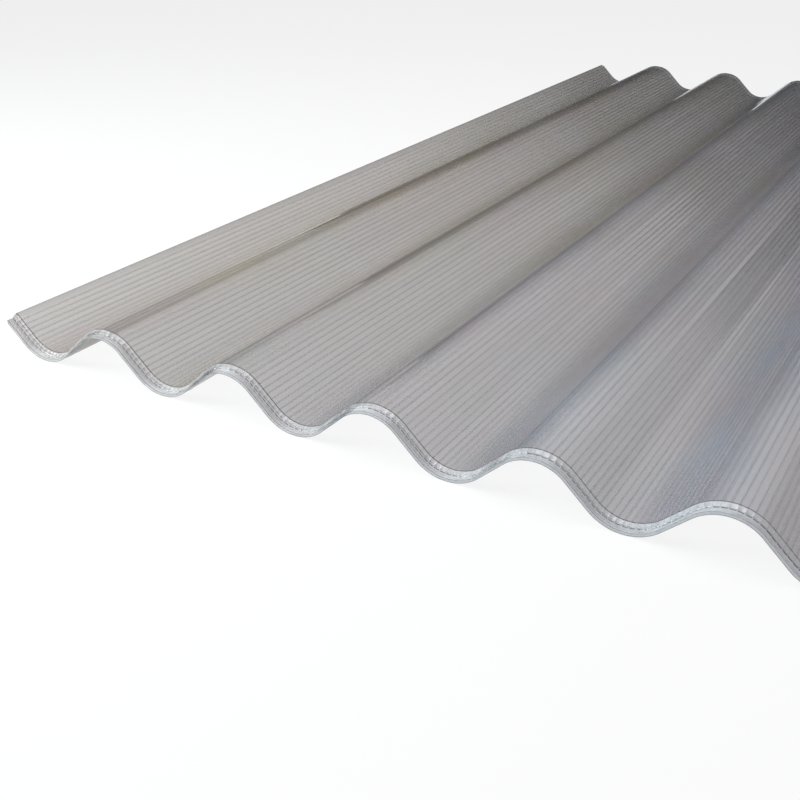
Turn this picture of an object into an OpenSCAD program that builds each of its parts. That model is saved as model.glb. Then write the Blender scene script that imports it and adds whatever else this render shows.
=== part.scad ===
// Corrugated polycarbonate sheet: a twin-wall plastic roofing sheet pressed
// into five rounded waves, lying flat on its troughs.
// X runs across the waves, Y along them and Z up. Sizes are in millimetres.
// The origin is at the middle of the sheet, on the plane it rests on.

/* [Sheet] */
// length of the sheet along its waves
length = 2000; // [1500:10:3000]
// width of the sheet from side edge to side edge
width = 920; // [900:1:925]
// thickness of the sheet over both skins
thickness = 6; // [5:0.5:8]

/* [Waves] */
// distance from one crest to the next
pitch = 177; // [172:1:180]
// height from a trough to a crest on the same face
depth = 48; // [44:1:52]
// radius of the rounded crests and troughs, at the middle of the thickness
crest_radius = 47; // [44:0.5:49]
// distance from the left edge to the first crest
first_crest = 146; // [140:1:152]

/* [Cells] */
// number of hollow cells side by side across the sheet
cell_count = 156; // [120:1:165]
// thickness of the upper and lower skins
skin = 0.5; // [0.4:0.05:0.8]
// thickness of the upright ribs between cells
rib = 0.4; // [0.3:0.05:0.8]
// thickness of the wall along each side edge
edge_wall = 1; // [0.6:0.1:2]

/* [Sealed ends] */
// length of the pressed and sealed band at each end of the sheet
seal_length = 14; // [12:0.5:20]
// length of the flat outer strip of that band
strip_length = 8.5; // [6:0.5:11]
// thickness of the flat outer strip
strip_thickness = 3; // [2:0.5:4]

/* [Hidden] */
clear = [0.74, 0.77, 0.78];

// slope of the straight flanks between crests and troughs, in degrees
flank = atan2(pitch / 2, 2 * crest_radius - depth)
    - acos(2 * crest_radius / norm([pitch / 2, 2 * crest_radius - depth]));
arc_width = crest_radius * sin(flank);
arc_drop = crest_radius * (1 - cos(flank));
arc_run = crest_radius * flank * PI / 180;
flank_run = (pitch / 2 - 2 * arc_width) / cos(flank);
half_run = 2 * arc_run + flank_run;

half = thickness / 2;
low = skin - half;
high = half - skin;
strip_top = strip_thickness - half;
shoulder_top = (half + strip_top) / 2;

last = 2 * cell_count;
start = run_at(-first_crest);
finish = run_at(width - first_crest);
lift = -min([for (i = [2 : last - 2]) off(run(i), -half)[1]]);

// distance along the curve of a station, two to a cell
function run(i) = start + (finish - start) * i / last;

// distance along the curve from a crest, for a distance across from it
function quarter(a) = a < arc_width ? arc_length(a)
    : a < pitch / 2 - arc_width ? arc_run + (a - arc_width) / cos(flank)
    : half_run - arc_length(pitch / 2 - a);
function arc_length(a) = crest_radius * asin(a / crest_radius) * PI / 180;

// the same from the first crest, with the crests in between
function run_at(x) = let (n = round(x / pitch), r = x - n * pitch)
    2 * half_run * n + sign(r) * quarter(abs(r));

// angle turned through in a distance along an arc
function turn(w) = w / crest_radius * 180 / PI;

// across, height and slope of the middle surface at a distance past a crest
function bend(w) = w < arc_run
    ? [crest_radius * sin(turn(w)), depth / 2 - crest_radius * (1 - cos(turn(w))), turn(w)]
    : w < arc_run + flank_run
    ? [arc_width + (w - arc_run) * cos(flank), depth / 2 - arc_drop - (w - arc_run) * sin(flank), flank]
    : let (t = turn(half_run - w))
    [pitch / 2 - crest_radius * sin(t), crest_radius * (1 - cos(t)) - depth / 2, t];

// the same at a distance along the whole curve
function place(w) = let (n = round(w / half_run / 2), r = w - 2 * half_run * n, p = bend(abs(r)))
    [n * pitch + sign(r) * p[0], p[1], sign(r) * p[2]];

// point at a distance off the middle surface, square to it
function off(w, d) = let (p = place(w)) [p[0] + d * sin(p[2]), p[1] + d * cos(p[2])];

// point at a distance off the middle surface, straight above it
function above(w, d) = let (p = place(w)) [p[0], p[1] + d / cos(p[2])];

// chain of points that follows the waves, with upright ends
function chain(d) = concat([above(start, d)], [for (i = [2 : last - 2]) off(run(i), d)], [above(finish, d)]);

// reversed list of points
function reversed(list) = [for (i = [len(list) - 1 : -1 : 0]) list[i]];

// wavy band between two distances off the middle surface
module band(under, over) {
    polygon(concat(chain(under), reversed(chain(over))));
}

// hollow of one cell, bent in the middle like its skins
module cell(n) {
    a = run(2 * n) + rib / 2;
    b = run(2 * n + 1);
    c = run(2 * n + 2) - rib / 2;
    polygon([off(a, low), off(b, low), off(c, low), off(c, high), off(b, high), off(a, high)]);
}

// hollow of a cell beside a side edge
module edge_cell(edge, inner) {
    polygon([above(edge, low), off(inner, low), off(inner, high), above(edge, high)]);
}

// section through the sheet between its sealed ends
module hollow_section() {
    difference() {
        band(-half, half);
        for (n = [1 : cell_count - 2]) cell(n);
        edge_cell(start + edge_wall, run(2) - rib / 2);
        edge_cell(finish - edge_wall, run(last - 2) + rib / 2);
    }
}

// stand a section up and run it along Y from a given place towards the front
module run_along(from, span) {
    translate([first_crest - width / 2, from, lift]) rotate([90, 0, 0])
        linear_extrude(height = span) children();
}

// sealed band at the front end, from its shoulder to the cut edge
module sealed_end() {
    run_along(seal_length - length / 2, seal_length) band(-half, strip_top);
    run_along(seal_length - length / 2, seal_length - strip_length) band(-half, shoulder_top);
}

module corrugated_sheet() {
    color(clear) {
        run_along(length / 2 - seal_length, length - 2 * seal_length) hollow_section();
        sealed_end();
        mirror([0, 1, 0]) sealed_end();
    }
}

corrugated_sheet();
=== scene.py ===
"""Corrugated polycarbonate sheet: the looks of the twin-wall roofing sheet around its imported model."""

import math

import bpy
import numpy as np
from mathutils import Matrix, Vector


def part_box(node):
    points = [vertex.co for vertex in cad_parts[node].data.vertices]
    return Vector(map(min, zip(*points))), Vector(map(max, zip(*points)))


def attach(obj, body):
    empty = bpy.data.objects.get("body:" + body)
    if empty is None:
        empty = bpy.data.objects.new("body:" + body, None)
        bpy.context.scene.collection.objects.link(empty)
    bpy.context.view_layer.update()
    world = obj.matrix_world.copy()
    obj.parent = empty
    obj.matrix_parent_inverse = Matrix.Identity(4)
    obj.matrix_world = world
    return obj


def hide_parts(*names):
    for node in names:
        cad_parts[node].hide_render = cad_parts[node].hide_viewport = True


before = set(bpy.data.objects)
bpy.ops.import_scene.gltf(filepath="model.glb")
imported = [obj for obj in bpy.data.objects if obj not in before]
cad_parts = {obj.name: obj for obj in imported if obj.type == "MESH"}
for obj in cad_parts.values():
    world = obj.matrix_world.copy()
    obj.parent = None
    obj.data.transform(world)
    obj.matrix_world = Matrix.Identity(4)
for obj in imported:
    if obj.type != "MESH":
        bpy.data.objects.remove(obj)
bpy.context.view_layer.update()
LOW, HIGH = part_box("corrugated_sheet")

# sizes of the sheet in metres, the same as in the part's source
PITCH = 0.177
DEPTH = 0.048
CREST_RADIUS = 0.047
FIRST_CREST = 0.146
THICKNESS = 0.006
SKIN = 0.0005
RIB = 0.0004
CELLS = 156
SEAL = 0.014
STRIP = 0.0085
STRIP_THICKNESS = 0.003
WIDTH = HIGH.x - LOW.x
LENGTH = HIGH.y - LOW.y
HALF = THICKNESS / 2

# fine relief that the source leaves out, in metres
SKIN_DIP = 0.0002  # how far a skin sinks between two ribs
UPPER_DIP_START = 0.0008  # length past the seal over which the dips of the upper skin begin
LOWER_DIP_START = 0.002  # the same for the lower skin
DIMPLE = 0.0007  # how far the seal's shoulder is pressed in between the rib ends
CREASE = 0.0003  # depth of the creases on both sides of the dimples
SEAL_CREASE_WIDTH = 0.00045  # half width of the crease where the body ends
STRIP_CREASE_WIDTH = 0.0005  # half width of the crease where the flat strip ends
SHOULDER_BULGE = 0.75  # power of the shoulder's rise; 1 would be a straight slope

# The wave is made of circle arcs and straight flanks. A run is a length along its curve.
CENTRE_RISE = 2 * CREST_RADIUS - DEPTH  # how much higher the centre of a trough's arc lies than a crest's
FLANK = math.atan2(PITCH / 2, CENTRE_RISE) - math.acos(2 * CREST_RADIUS / math.hypot(PITCH / 2, CENTRE_RISE))
ARC_WIDTH = CREST_RADIUS * math.sin(FLANK)
ARC_RUN = CREST_RADIUS * FLANK
FLANK_RUN = (PITCH / 2 - 2 * ARC_WIDTH) / math.cos(FLANK)
HALF_RUN = 2 * ARC_RUN + FLANK_RUN
MIDDLE_HEIGHT = DEPTH / 2 + HALF  # the middle surface's mean height over the floor


def run_at(x):
    """Distance along the curve from the first crest, for a distance across from it."""
    waves = round(x / PITCH)
    rest = x - waves * PITCH
    a = abs(rest)
    if a < ARC_WIDTH:
        run = CREST_RADIUS * math.asin(a / CREST_RADIUS)
    elif a < PITCH / 2 - ARC_WIDTH:
        run = ARC_RUN + (a - ARC_WIDTH) / math.cos(FLANK)
    else:
        run = HALF_RUN - CREST_RADIUS * math.asin((PITCH / 2 - a) / CREST_RADIUS)
    return 2 * HALF_RUN * waves + math.copysign(run, rest)


def place(run):
    """Across, height and slope of the middle surface at distances along the curve."""
    waves = np.round(run / HALF_RUN / 2)
    rest = run - 2 * HALF_RUN * waves
    w = np.abs(rest)
    top = np.minimum(w, ARC_RUN) / CREST_RADIUS
    bottom = np.clip(HALF_RUN - w, 0, ARC_RUN) / CREST_RADIUS
    straight = np.clip(w - ARC_RUN, 0, FLANK_RUN)
    across = CREST_RADIUS * np.sin(top) + straight * math.cos(FLANK)
    across += ARC_WIDTH - CREST_RADIUS * np.sin(bottom)
    height = DEPTH / 2 - CREST_RADIUS * (1 - np.cos(top)) - straight * math.sin(FLANK)
    height -= CREST_RADIUS * (np.cos(bottom) - math.cos(FLANK))
    slope = np.where(w < ARC_RUN, top, np.where(w < ARC_RUN + FLANK_RUN, FLANK, bottom))
    return waves * PITCH + np.sign(rest) * across, height, np.sign(rest) * slope


START = run_at(-FIRST_CREST)
FINISH = run_at(WIDTH - FIRST_CREST)


def surface(run, offset, upright=None):
    """Points (x, z) at an offset square to the middle surface, or straight above it where upright."""
    across, height, slope = place(run)
    x = across + offset * np.sin(slope)
    z = height + offset * np.cos(slope)
    if upright is not None:
        x = np.where(upright, across, x)
        z = np.where(upright, height + offset / np.cos(slope), z)
    return x + LOW.x + FIRST_CREST, z + MIDDLE_HEIGHT


SHARP_ANGLE = math.radians(35)  # an edge that turns by more than this stays sharp


def mesh_object(name, vertices, faces, material, smooth=True):
    mesh = bpy.data.meshes.new(name)
    mesh.from_pydata([tuple(v) for v in vertices], [], faces)
    mesh.update()
    mesh.materials.append(material)
    obj = bpy.data.objects.new(name, mesh)
    bpy.context.collection.objects.link(obj)
    if smooth:
        mesh.polygons.foreach_set("use_smooth", [True] * len(mesh.polygons))
        mesh.set_sharp_from_angle(angle=SHARP_ANGLE)
    return obj


# ---------------------------------------------------------------- nodes


def new_material(name):
    """A material with a Principled shader alone."""
    material = bpy.data.materials.new(name)
    material.use_nodes = True
    nodes = material.node_tree.nodes
    nodes.clear()
    out = nodes.new("ShaderNodeOutputMaterial")
    shader = nodes.new("ShaderNodeBsdfPrincipled")
    material.node_tree.links.new(shader.outputs[0], out.inputs[0])
    return material, material.node_tree, shader


def add(tree, kind, inputs=None, **settings):
    """A node, with each of its inputs linked to an output or set to a value."""
    node = tree.nodes.new(kind)
    for key, value in settings.items():
        setattr(node, key, value)
    for key, value in (inputs or {}).items():
        if hasattr(value, "is_linked"):
            tree.links.new(value, node.inputs[key])
        else:
            node.inputs[key].default_value = value
    return node


def math_node(tree, operation, first, second=0.0):
    return add(tree, "ShaderNodeMath", {0: first, 1: second}, operation=operation).outputs[0]


def plus(tree, first, second):
    return math_node(tree, "ADD", first, second)


def times(tree, first, second):
    return math_node(tree, "MULTIPLY", first, second)


def larger(tree, first, second):
    return math_node(tree, "MAXIMUM", first, second)


def ramp(tree, value, low, high, to_low=0.0, to_high=1.0):
    """Maps low to high onto to_low to to_high, and holds the end values beyond them."""
    inputs = {"Value": value, "From Min": low, "From Max": high, "To Min": to_low, "To Max": to_high}
    return add(tree, "ShaderNodeMapRange", inputs).outputs[0]


def line(tree, value, at, width):
    """1 on a thin soft line where value is at, and 0 beyond width from it."""
    off = math_node(tree, "ABSOLUTE", math_node(tree, "SUBTRACT", value, at))
    return ramp(tree, off, width, 0.4 * width)


def blend_colours(tree, share, first, second):
    """The first colour where share is 0, the second where it is 1."""
    node = add(tree, "ShaderNodeMix", {0: share}, data_type="RGBA")
    for slot, colour in ((6, first), (7, second)):  # the Mix node's sockets for colours
        if isinstance(colour, tuple):
            node.inputs[slot].default_value = (*colour, 1)
        else:
            tree.links.new(colour, node.inputs[slot])
    return node.outputs[2]


def position(tree):
    """Object coordinates: across, along and up."""
    coordinates = add(tree, "ShaderNodeTexCoord").outputs["Object"]
    return add(tree, "ShaderNodeSeparateXYZ", {0: coordinates}).outputs


def noise(tree, where, scale, detail, roughness):
    inputs = {"Vector": where, "Scale": scale, "Detail": detail, "Roughness": roughness}
    return add(tree, "ShaderNodeTexNoise", inputs).outputs["Fac"]


def stretched_noise(tree, scale, detail=4.0):
    """Noise on object coordinates, with a scale of its own on each axis."""
    coordinates = add(tree, "ShaderNodeTexCoord").outputs["Object"]
    mapping = add(tree, "ShaderNodeMapping", {"Vector": coordinates, "Scale": scale})
    return noise(tree, mapping.outputs[0], 1.0, detail, 0.55)


def attribute(tree, name):
    """A number stored with the points of the mesh."""
    return add(tree, "ShaderNodeAttribute", attribute_name=name).outputs["Fac"]


# ---------------------------------------------------------------- materials

# how much a wall holds back where it is seen square on
SKIN_ABSORB = 0.353
RIB_ABSORB = 0.034
STREAK_ABSORB = 0.02  # how much a skin gains or loses at most from cell to cell
STRIPE_ABSORB = 0.02  # how much the upper skin gains over a rib and loses between two
LINE_ABSORB = 0.07  # how much it gains on the thin line over a rib
ASLANT = 1.04  # a little over 1, which keeps the way through a wall finite where it is seen edge on

# half widths of thin lines, as a share of a cell
LINE_WIDTH = 0.19  # the line over each rib
WELD_WIDTH = 0.12  # the raised line that each rib's weld leaves on the skins

# in metres
WELD_HEIGHT = 4e-5  # half the height of the raised line
GRAIN_HEIGHT = 6e-6  # height of the fine grain of the plastic
FOLD = 0.0022  # width of the painted shade line in the crease where the body ends
SHADE_DASH = 0.0007  # half width of the painted shade dashes in the crease along the strip
EDGE_AT = 0.0006  # how far from the cut end the dark edge line lies
EDGE_WIDTH = 0.0005  # its half width
RIB_END = 0.001  # length over which the dark rib ends begin, past the strip

REFRACTION = 1.58
SKIN_SHINE = (1.0, 0.9, 0.93, 1.0)  # faint pink of what the skins reflect

# base colours as under warm light at the left and cool light at the right, a painted tint of the light
WARM_LIT = (0.277, 0.242, 0.168)
COOL_LIT = (0.214, 0.238, 0.3)
PINK = (0.30, 0.22, 0.235)
PALE = (0.38, 0.38, 0.39)
STRIPE_GREY = (0.10, 0.10, 0.10)
LINE_GREY = (0.09, 0.09, 0.09)
FOLD_SHADE_GREY = (0.04, 0.04, 0.045)
MARK_AND_SHADE_GREY = (0.06, 0.06, 0.065)
RIB_GREYS = ((0.10, 0.10, 0.10), (0.16, 0.16, 0.16))
SEAL_DARKER = ((0.45, 0.423, 0.425), (0.39, 0.424, 0.47))  # painted tint of the light: at the warm-lit left side and at the cool-lit right side
SEAL_LIGHTER = ((0.655, 0.622, 0.625), (0.58, 0.624, 0.68))


def see_through(tree, absorb):
    """Alpha of a clear wall, which rises as the way through it gets longer."""
    facing = add(tree, "ShaderNodeLayerWeight", {"Blend": 0.5}).outputs["Facing"]
    square_on = math_node(tree, "SUBTRACT", ASLANT, facing)
    loss = math_node(tree, "DIVIDE", times(tree, absorb, -1.0), square_on)
    return math_node(tree, "SUBTRACT", 1.0, math_node(tree, "EXPONENT", loss))


def streaks_of(tree):
    """Uneven tone of the cells, -1 to 1: each has its own, and it changes slowly along the sheet."""
    cell = math_node(tree, "FLOOR", attribute(tree, "cell"))
    apart = times(tree, cell, 7.31)  # far enough apart in the noise for neighbours to differ
    where = add(tree, "ShaderNodeCombineXYZ", {0: apart, 1: position(tree)[1]})
    return ramp(tree, noise(tree, where.outputs[0], 1.3, 2.0, 0.6), 0.3, 0.7, -1.0, 1.0)


def painted_light_tint_of(tree):
    """Painted tint of warm and cool light, as how cool the tone is: it rises from the left side to the right
    one and falls farther back.
    """
    across, along, _ = position(tree)
    from_left = ramp(tree, across, LOW.x, HIGH.x)
    return plus(tree, from_left, ramp(tree, along, LOW.y, LOW.y + 1, 0.1, -0.2))


def from_rib_of(tree):
    """Distance from the nearest rib in cells, 0 to 0.5."""
    return math_node(tree, "PINGPONG", attribute(tree, "cell"), 0.5)


def finish_plastic(tree, shader, colour, alpha, rough, height):
    """Links the shader's inputs; height is in units of the grain's height."""
    relief = add(tree, "ShaderNodeBump", {"Height": height, "Strength": 1.0, "Distance": GRAIN_HEIGHT})
    tree.links.new(colour, shader.inputs["Base Color"])
    tree.links.new(alpha, shader.inputs["Alpha"])
    tree.links.new(rough, shader.inputs["Roughness"])
    tree.links.new(relief.outputs[0], shader.inputs["Normal"])
    shader.inputs["IOR"].default_value = REFRACTION


def skin_plastic():
    """Clear greyish plastic with stripes and thin lines over the ribs, faint coloured patches, a painted
    tint of warm and cool light and a painted shade line in the crease where the body ends.
    """
    material, tree, shader = new_material("clear_polycarbonate_skin")
    streaks = streaks_of(tree)
    grain = stretched_noise(tree, (420.0, 2.5, 420.0))
    cloud = stretched_noise(tree, (5.0, 3.0, 5.0), detail=3.0)
    tint = stretched_noise(tree, (9.0, 6.0, 9.0), detail=2.0)
    blush = stretched_noise(tree, (13.0, 5.0, 13.0), detail=3.0)

    # painted tint of warm light at the left and cool light at the right, with a random tint on top
    drift = plus(tree, painted_light_tint_of(tree), ramp(tree, tint, 0.3, 0.7, -0.15, 0.15))
    colour = blend_colours(tree, drift, WARM_LIT, COOL_LIT)
    colour = blend_colours(tree, ramp(tree, blush, 0.4, 0.7, 0.0, 0.55), colour, PINK)
    colour = blend_colours(tree, ramp(tree, cloud, 0.5, 0.72, 0.0, 0.35), colour, PALE)

    # the stripes and lines are on the upper skin alone
    upper = attribute(tree, "level")
    from_rib = from_rib_of(tree)
    rib_line = times(tree, line(tree, from_rib, 0.0, LINE_WIDTH), upper)
    over_rib = math_node(tree, "COSINE", times(tree, attribute(tree, "cell"), math.tau))
    stripe = times(tree, over_rib, times(tree, ramp(tree, streaks, -1.0, 1.0, 0.7, 1.3), upper))
    # painted shade in the crease where the body ends, which also makes the skin nearly opaque there
    fold_shade = times(tree, line(tree, attribute(tree, "from_end"), SEAL + FOLD / 2, FOLD / 2), 0.9)
    colour = blend_colours(tree, ramp(tree, stripe, -1.0, 1.0, 0.0, 0.12), colour, STRIPE_GREY)
    colour = blend_colours(tree, times(tree, rib_line, 0.25), colour, LINE_GREY)
    colour = blend_colours(tree, fold_shade, colour, FOLD_SHADE_GREY)

    absorb = plus(tree, times(tree, streaks, STREAK_ABSORB), SKIN_ABSORB)
    absorb = plus(tree, times(tree, stripe, STRIPE_ABSORB), absorb)
    absorb = plus(tree, times(tree, rib_line, LINE_ABSORB), absorb)
    alpha = larger(tree, see_through(tree, absorb), fold_shade)

    rough = ramp(tree, cloud, 0.3, 0.7, 0.07, 0.14)
    weld = math_node(tree, "COSINE", ramp(tree, from_rib, 0.0, WELD_WIDTH, 0.0, math.pi))
    height = plus(tree, times(tree, weld, WELD_HEIGHT / GRAIN_HEIGHT), grain)
    shader.inputs["Specular Tint"].default_value = SKIN_SHINE
    finish_plastic(tree, shader, colour, alpha, rough, height)
    return material


def rib_plastic():
    """Clear plastic of the thin ribs, dark where it is seen edge on."""
    material, tree, shader = new_material("clear_polycarbonate_rib")
    grain = stretched_noise(tree, (30.0, 3.0, 30.0))
    colour = blend_colours(tree, grain, *RIB_GREYS)
    rough = ramp(tree, grain, 0.3, 0.7, 0.15, 0.25)
    finish_plastic(tree, shader, colour, see_through(tree, RIB_ABSORB), rough, grain)
    return material


def seal_plastic():
    """Pressed, half clear plastic of the sealed ends, with a painted tint of warm and cool light, painted
    shade in the crease where the strip ends and low on the cut face, and dark lines along the cut edge and
    at the rib ends.
    """
    material, tree, shader = new_material("clear_polycarbonate_seal")
    from_end = attribute(tree, "from_end")
    from_rib = from_rib_of(tree)
    grain = stretched_noise(tree, (300.0, 300.0, 300.0))
    cloud = stretched_noise(tree, (60.0, 90.0, 60.0))
    # painted tint of warm light at the left and cool light at the right
    drift = painted_light_tint_of(tree)
    darker = blend_colours(tree, drift, *SEAL_DARKER)
    lighter = blend_colours(tree, drift, *SEAL_LIGHTER)
    body = blend_colours(tree, ramp(tree, cloud, 0.35, 0.65), darker, lighter)

    # painted shade: dark dashes in the crease where the strip ends, between the ribs
    crease_shade_dashes = times(tree, line(tree, from_end, STRIP, SHADE_DASH), ramp(tree, from_rib, 0.06, 0.16))
    edge = line(tree, from_end, EDGE_AT, EDGE_WIDTH)
    under = line(tree, attribute(tree, "level"), 0.12, 0.12)  # painted shade low on the cut face
    # the dark edge line together with the painted shade of the dashes and of the low cut face
    lines = larger(tree, larger(tree, edge, crease_shade_dashes), times(tree, under, 0.6))
    on_shoulder = ramp(tree, from_end, STRIP, STRIP + RIB_END)
    rib_ends = times(tree, on_shoulder, ramp(tree, from_rib, 0.07, 0.03))
    # all dark marks: painted shade in the crease and low on the cut face, the edge line and the rib ends
    marks_and_shade = larger(tree, lines, times(tree, rib_ends, 0.35))
    colour = blend_colours(tree, marks_and_shade, body, MARK_AND_SHADE_GREY)

    alpha = larger(tree, ramp(tree, cloud, 0.35, 0.65, 0.45, 0.6), times(tree, marks_and_shade, 0.9))
    rough = ramp(tree, cloud, 0.3, 0.7, 0.12, 0.28)
    finish_plastic(tree, shader, colour, alpha, rough, grain)
    return material


# ---------------------------------------------------------------- the sheet

# where the columns of points stand across one cell, 0 at its rib
COLUMNS = (0, 0.07, 0.25, 0.5, 0.75, 0.93)

# distances from the cut end of the rows of points along the sheet
END_ROWS = np.array([0, 0.3, 2, 4.2, 6.4, 7.9, 8.5, 9.1, 10.2, 11.3, 12.4, 13.4, 14, 14.5, 15.5, 20]) / 1000
MIDDLE_PARTS = 8  # the rows between the ends divide the length into this many parts


def upper_offset(from_end, cell):
    """Offset of the upper face at a distance from the cut end; cell is 0 at the ribs and 1 between them."""
    flat = STRIP_THICKNESS - HALF
    t = np.clip((from_end - STRIP) / (SEAL - STRIP), 0, 1)
    offset = flat + (HALF - flat) * t**SHOULDER_BULGE
    offset = offset - DIMPLE * cell * np.sin(math.pi * t)
    seal_crease = np.exp(-(((from_end - SEAL) / SEAL_CREASE_WIDTH) ** 2))
    strip_crease = cell * np.exp(-(((from_end - STRIP) / STRIP_CREASE_WIDTH) ** 2))
    body = np.clip((from_end - SEAL) / UPPER_DIP_START, 0, 1)
    return offset - CREASE * (seal_crease + strip_crease) - SKIN_DIP * cell * body


def lower_offset(from_end, cell):
    """Offset of the underside, which is flat in the seal and dips between the ribs of the body."""
    body = np.clip((from_end - SEAL) / LOWER_DIP_START, 0, 1)
    return -HALF + SKIN_DIP * cell * body


def build_skins():
    """Both skins as one closed shell, which stores for the materials where each point lies."""
    phase = np.tile(COLUMNS, CELLS)
    number = np.repeat(np.arange(CELLS), len(COLUMNS)) + phase
    number, phase = np.append(number, CELLS), np.append(phase, 0)
    run = START + (FINISH - START) * number / CELLS
    cell = 4 * phase * (1 - phase)
    upright = np.zeros(len(run), bool)
    upright[[0, -1]] = True
    keep = np.ones(len(run), bool)
    keep[1:4] = keep[-4:-1] = False  # the upright edges leave no room for the columns beside them
    run, cell, upright, number = run[keep], cell[keep], upright[keep], number[keep]
    columns = len(run)

    middle = [LENGTH * k / MIDDLE_PARTS for k in range(1, MIDDLE_PARTS)]
    rows = [*END_ROWS, *middle, *(LENGTH - END_ROWS[::-1])]
    from_ends = np.array([min(y, LENGTH - y) for y in rows])
    count = len(rows)
    points = []
    for face_offset in (upper_offset, lower_offset):
        for y, from_end in zip(rows, from_ends):
            x, z = surface(run, face_offset(from_end, cell), upright)
            points.append(np.stack([x, np.full(columns, LOW.y + y), z], 1))
    points = np.concatenate(points)

    under = count * columns  # where the points of the underside begin
    last = (count - 1) * columns  # where the last row of the upper face begins
    faces = []
    for r in range(count - 1):
        for c in range(columns - 1):
            a = r * columns + c
            faces.append((a, a + 1, a + columns + 1, a + columns))
            b = a + under
            faces.append((b, b + columns, b + columns + 1, b + 1))
    for c in range(columns - 1):
        faces.append((under + c, under + c + 1, c + 1, c))
        faces.append((last + c, last + c + 1, under + last + c + 1, under + last + c))
    for r in range(count - 1):
        a, b = r * columns, (r + 1) * columns
        faces.append((a, b, under + b, under + a))
        a, b = a + columns - 1, b + columns - 1
        faces.append((b, a, under + a, under + b))

    shell = mesh_object("sheet_skins", points, faces, skin_plastic())
    shell.data.materials.append(seal_plastic())
    stored = {
        "cell": np.tile(number, 2 * count),
        "from_end": np.tile(np.repeat(from_ends, columns), 2),
        "level": np.repeat((1, 0), count * columns),
    }
    for name, values in stored.items():
        layer = shell.data.attributes.new(name, "FLOAT", "POINT")
        layer.data.foreach_set("value", values.astype(np.float32))
    for face in shell.data.polygons:
        in_body = LOW.y + SEAL < face.center.y < HIGH.y - SEAL
        face.material_index = 0 if in_body else 1
    return shell


def build_ribs():
    """The upright ribs between the cells, squeezed down to nothing in the sealed bands."""
    inner = HALF - SKIN
    strip = STRIP_THICKNESS - HALF - SKIN
    outline = [
        (STRIP, -inner),
        (STRIP, strip),
        (SEAL, inner),
        (LENGTH - SEAL, inner),
        (LENGTH - STRIP, strip),
        (LENGTH - STRIP, -inner),
    ]
    n = len(outline)
    points, faces = [], []
    for k in range(1, CELLS):
        run = START + (FINISH - START) * k / CELLS
        base = len(points)
        for side in (-1, 1):
            for y, offset in outline:
                x, z = surface(np.array([run + side * RIB / 2]), np.array([offset]))
                points.append((x[0], LOW.y + y, z[0]))
        faces.append(tuple(base + i for i in range(n)))
        faces.append(tuple(base + n + i for i in reversed(range(n))))
        for i in range(n):
            j = (i + 1) % n
            faces.append((base + j, base + i, base + n + i, base + n + j))
    return mesh_object("cell_ribs", points, faces, rib_plastic(), smooth=False)


skins = build_skins()
ribs = build_ribs()
for piece in (skins, ribs):
    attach(piece, "root")
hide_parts("corrugated_sheet")

# ---------------------------------------------------------------- stage

FLOOR_REACH = 40.0  # how far the floor goes each way
FLOOR_WHITE = 0.85  # share of the floor that is white where it is seen directly
LAMP_SIZE = 1.2
SCREEN_BEHIND = 8.0  # how far behind the sheet the dark screen stands
SCREEN_GLOW = (0.0, 0.025, 0.055, 1.0)  # faint blue that it gives to its reflection
SCREEN_FADE = (3.5, 6.5)  # heights between which it fades away
SCREEN_OUTLINE = ((-7.4, 0), (4.3, 0), (4.3, 2.6), (2.5, 2.45), (1.4, 6.5), (-7.4, 6.5))


def seen_directly(tree):
    """1 for rays that show the background: from the camera, a reflection or through glass."""
    path = add(tree, "ShaderNodeLightPath").outputs
    first = plus(tree, path["Is Camera Ray"], path["Is Glossy Ray"])
    inputs = {0: first, 1: path["Is Transmission Ray"]}
    return add(tree, "ShaderNodeMath", inputs, operation="ADD", use_clamp=True).outputs[0]


def pale_floor():
    """White floor that keeps the sheet's shadow."""
    material = bpy.data.materials.new("pale_floor")
    material.use_nodes = True
    tree = material.node_tree
    tree.nodes.clear()
    out = tree.nodes.new("ShaderNodeOutputMaterial")
    tone = ramp(tree, stretched_noise(tree, (8.0, 8.0, 8.0)), 0.0, 1.0, 0.84, 0.88)
    matte = add(tree, "ShaderNodeBsdfDiffuse", {"Color": tone}).outputs[0]
    white = add(tree, "ShaderNodeEmission", {"Strength": 1.0}).outputs[0]
    share = times(tree, seen_directly(tree), FLOOR_WHITE)
    mixed = add(tree, "ShaderNodeMixShader", {0: share, 1: matte, 2: white})
    tree.links.new(mixed.outputs[0], out.inputs[0])
    return material


def dark_card():
    """Matt dark card with a faint blue glow and a soft upper edge."""
    material, tree, shader = new_material("dark_card")
    tone = ramp(tree, stretched_noise(tree, (30.0, 30.0, 30.0)), 0.0, 1.0, 0.05, 0.07)
    tree.links.new(tone, shader.inputs["Base Color"])
    shader.inputs["Roughness"].default_value = 0.9
    shader.inputs["Emission Color"].default_value = SCREEN_GLOW
    shader.inputs["Emission Strength"].default_value = 1.0
    material.cycles.emission_sampling = "NONE"  # too faint to be sampled as a lamp
    tree.links.new(ramp(tree, position(tree)[2], *SCREEN_FADE, 1.0, 0.0), shader.inputs["Alpha"])
    return material


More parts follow.
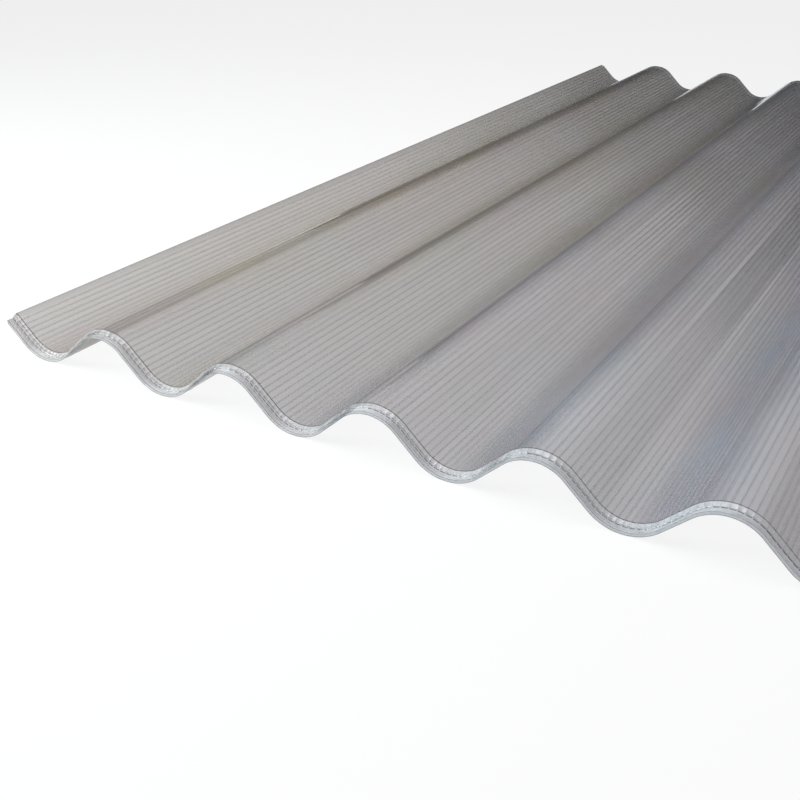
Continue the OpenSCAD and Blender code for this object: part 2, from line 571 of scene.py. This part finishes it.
floor = mesh_object(
    "floor",
    [(x * FLOOR_REACH, y * FLOOR_REACH, LOW.z) for x, y in ((-1, -1), (1, -1), (1, 1), (-1, 1))],
    [(0, 1, 2, 3)],
    pale_floor(),
    smooth=False,
)

world = bpy.data.worlds.new("studio")
bpy.context.scene.world = world
world.use_nodes = True
sky = world.node_tree
background = sky.nodes["Background"]
background.inputs["Color"].default_value = (1, 1, 1, 1)
sky.links.new(seen_directly(sky), background.inputs["Strength"])


def area_light(name, at, look, power, colour):
    lamp = bpy.data.lights.new(name, "AREA")
    lamp.energy = power
    lamp.size = LAMP_SIZE
    lamp.color = colour
    obj = bpy.data.objects.new(name, lamp)
    bpy.context.collection.objects.link(obj)
    obj.location = at
    obj.rotation_euler = (Vector(look) - Vector(at)).to_track_quat("-Z", "Y").to_euler()


area_light("left_lamp", (-1.5, LOW.y - 0.6, 1.1), (0, LOW.y + 0.2, 0), 61, (0.86, 0.955, 0.94))
area_light("top_lamp", (0, LOW.y + 0.4, 2.0), (0, LOW.y + 0.4, 0), 25, (1.0, 0.93, 0.955))

# stands far behind the sheet, where it shows only as a dark reflection in it
screen = mesh_object(
    "dark_screen",
    [(x, HIGH.y + SCREEN_BEHIND, z) for x, z in SCREEN_OUTLINE],
    [range(len(SCREEN_OUTLINE))],
    dark_card(),
    smooth=False,
)
screen.visible_camera = False
screen.visible_transmission = False

# ---------------------------------------------------------------- camera

CAMERA_AT = Vector((0.5314, LOW.y - 0.799, 0.5438))
RIGHT = Vector((0.86664, 0.49885, 0.00969))
DOWN = Vector((0.23434, -0.38982, -0.89058))
AHEAD = Vector((-0.44048, 0.77408, -0.45473))

lens = bpy.data.cameras.new("camera")
lens.sensor_width = 36.0
lens.lens = 48.78
camera = bpy.data.objects.new("camera", lens)
bpy.context.collection.objects.link(camera)
turn = Matrix((RIGHT, -DOWN, -AHEAD)).transposed().to_4x4()
camera.matrix_world = Matrix.Translation(CAMERA_AT) @ turn
bpy.context.scene.camera = camera
bpy.context.scene.view_settings.view_transform = "Standard"
